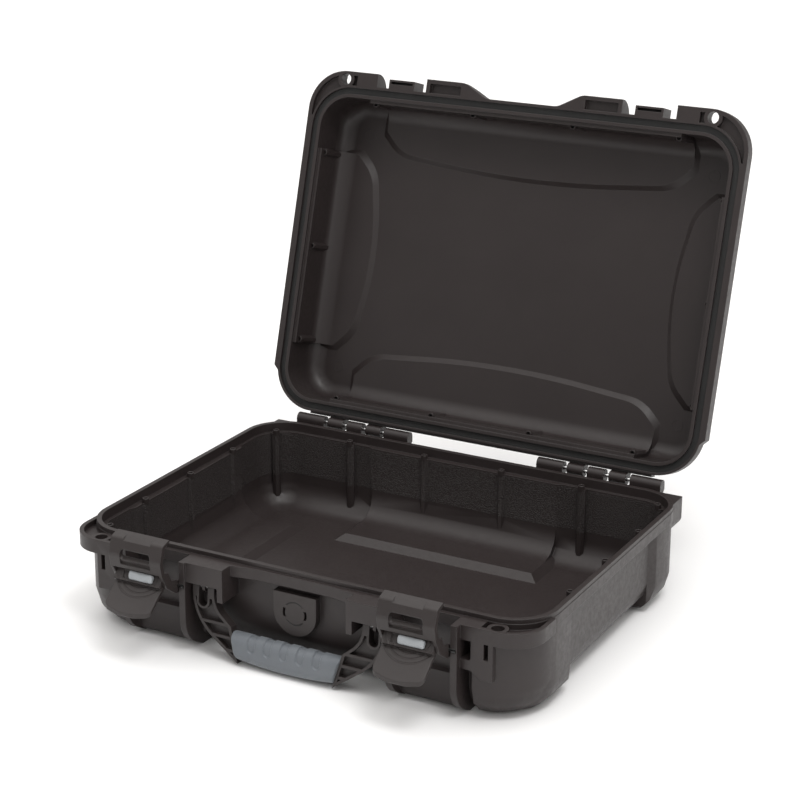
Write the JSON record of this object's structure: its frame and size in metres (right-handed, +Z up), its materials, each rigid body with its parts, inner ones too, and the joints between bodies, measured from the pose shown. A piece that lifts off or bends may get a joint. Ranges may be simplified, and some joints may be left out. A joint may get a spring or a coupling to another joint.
{
  "type": "hard case",
  "caption": "Hard carrying case with a hinged lid on a sealed rim, hooked front latches with slide locks, a folding grip handle, padlock eyes and a pressure valve.",
  "frame": {"origin": "on the floor under the middle of the base, on the face the case stands on", "axes": "+X to the right as seen from the front, +Y from the front to the hinges, +Z up"},
  "size_m": [0.465, 0.5362, 0.4285],
  "materials": {
    "shell": "fine moulded grain",
    "latch": "smooth moulded",
    "lock": "smooth moulded",
    "grip": "soft matte",
    "seal": "soft matte",
    "steel": "drawn wire"
  },
  "bodies": {
    "base": {"base_shell": "shell", "hinge_pin_left": "steel", "hinge_pin_right": "steel", "handle_pin_left": "steel", "handle_pin_right": "steel", "claw_pin_left": "steel", "claw_pin_right": "steel", "valve_cover": "latch", "valve_nut": "latch"},
    "lid": {"lid_shell": "shell", "lid_gasket": "seal"},
    "handle": {"handle_frame": "latch", "handle_grip": "grip"},
    "claw_left": {"latch_claw_left": "latch", "lever_pin_left": "steel"},
    "claw_right": {"latch_claw_right": "latch", "lever_pin_right": "steel"},
    "lever_left": {"latch_lever_left": "latch"},
    "lever_right": {"latch_lever_right": "latch"},
    "lock_left": {"latch_lock_left": "lock"},
    "lock_right": {"latch_lock_right": "lock"}
  },
  "joints": [
    {"name": "lid_hinge", "type": "hinge", "parent": "base", "child": "lid", "pos_m": [0, 0.173, 0.0906], "axis": [1, 0, 0], "range_deg": [0, 106.33]},
    {"name": "handle_fold", "type": "hinge", "parent": "base", "child": "handle", "pos_m": [0, -0.171, 0.063], "axis": [-1, 0, 0], "range_deg": [0, 84]},
    {"name": "claw_swing_left", "type": "hinge", "parent": "base", "child": "claw_left", "pos_m": [-0.131, -0.183, 0.064], "axis": [-1, 0, 0], "range_deg": [0, 29]},
    {"name": "claw_swing_right", "type": "hinge", "parent": "base", "child": "claw_right", "pos_m": [0.131, -0.183, 0.064], "axis": [-1, 0, 0], "range_deg": [0, 29]},
    {"name": "lever_fold_left", "type": "hinge", "parent": "claw_left", "child": "lever_left", "pos_m": [-0.131, -0.19936, 0.07494], "axis": [1, 0, 0], "range_deg": [0, 78.5]},
    {"name": "lever_fold_right", "type": "hinge", "parent": "claw_right", "child": "lever_right", "pos_m": [0.131, -0.19936, 0.07494], "axis": [1, 0, 0], "range_deg": [0, 78.5]},
    {"name": "lock_slide_left", "type": "slide", "parent": "lever_left", "child": "lock_left", "axis": [-1, 0, 0], "range_m": [0, 0.007]},
    {"name": "lock_slide_right", "type": "slide", "parent": "lever_right", "child": "lock_right", "axis": [-1, 0, 0], "range_m": [0, 0.007]}
  ]
}
